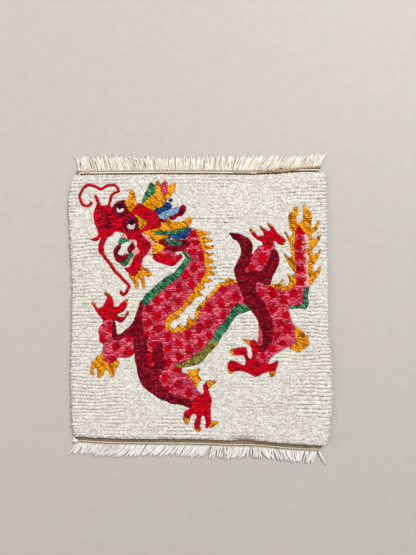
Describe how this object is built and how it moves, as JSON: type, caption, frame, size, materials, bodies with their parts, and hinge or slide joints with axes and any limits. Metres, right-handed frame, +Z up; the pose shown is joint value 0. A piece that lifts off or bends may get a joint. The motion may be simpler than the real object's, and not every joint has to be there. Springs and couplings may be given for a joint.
{
  "type": "dragon pile mat",
  "caption": "Small rectangular knotted-pile mat with an inlaid dragon in coloured wool, flat-woven headings and a cotton fringe at each end.",
  "frame": {"origin": "centre of the underside's bounding box, on the floor", "axes": "+Z up out of the pile, +Y along the mat towards the end where the dragon's head is, +X across the mat towards the side where the tail is"},
  "size_m": [0.6296, 0.739, 0.015],
  "materials": {
    "ground_cotton": "matte",
    "selvedge_wool": "matte",
    "heading_cotton": "matte",
    "fringe_cotton": "matte",
    "ivory_wool": "matte",
    "rose_wool": "matte",
    "red_wool": "matte",
    "peach_wool": "matte",
    "gold_wool": "matte",
    "olive_wool": "matte",
    "green_wool": "matte",
    "burgundy_wool": "matte",
    "sky_wool": "matte",
    "navy_wool": "matte",
    "black_wool": "matte"
  },
  "bodies": {
    "root": {"ground_weave": "ground_cotton", "selvedge_left": "selvedge_wool", "selvedge_right": "selvedge_wool", "kilim_top": "heading_cotton", "kilim_bottom": "heading_cotton", "cord_top": "heading_cotton", "cord_bottom": "heading_cotton", "fringe_top": "fringe_cotton", "fringe_bottom": "fringe_cotton", "field_pile": "ivory_wool", "body": "rose_wool", "thigh": "rose_wool", "tail": "rose_wool", "forearm": "rose_wool", "arm_left": "rose_wool", "scale_marks": "red_wool", "tail_peach": "peach_wool", "tail_flames": "gold_wool", "inner_flames": "gold_wool", "back_flames": "gold_wool", "belly_olive": "olive_wool", "belly_green": "green_wool", "body_shade": "burgundy_wool", "far_legs": "burgundy_wool", "neck_shade": "burgundy_wool", "neck_scroll": "green_wool", "throat_red": "red_wool", "throat_pink": "rose_wool", "mane_burgundy": "burgundy_wool", "mane_sky": "sky_wool", "mane_navy": "navy_wool", "mane_gold": "gold_wool", "mane_green": "green_wool", "mane_pink": "rose_wool", "cheek_peach": "peach_wool", "cheek_gold": "gold_wool", "lips": "peach_wool", "mouth_ring": "burgundy_wool", "mouth_green": "green_wool", "beard": "gold_wool", "face": "red_wool", "snout_shade": "burgundy_wool", "eye_rings": "burgundy_wool", "eye_whites": "ivory_wool", "pupils": "black_wool", "brow": "gold_wool", "horn": "gold_wool", "whiskers": "red_wool", "elbow_tuft": "gold_wool", "heel_tuft": "gold_wool", "knee_tuft": "gold_wool", "claws_left": "gold_wool", "paw_left": "red_wool", "claws_upper": "gold_wool", "paw_upper": "red_wool", "claws_right": "gold_wool", "paw_right": "red_wool", "claws_bottom": "gold_wool", "paw_bottom": "red_wool"}
  },
  "joints": []
}
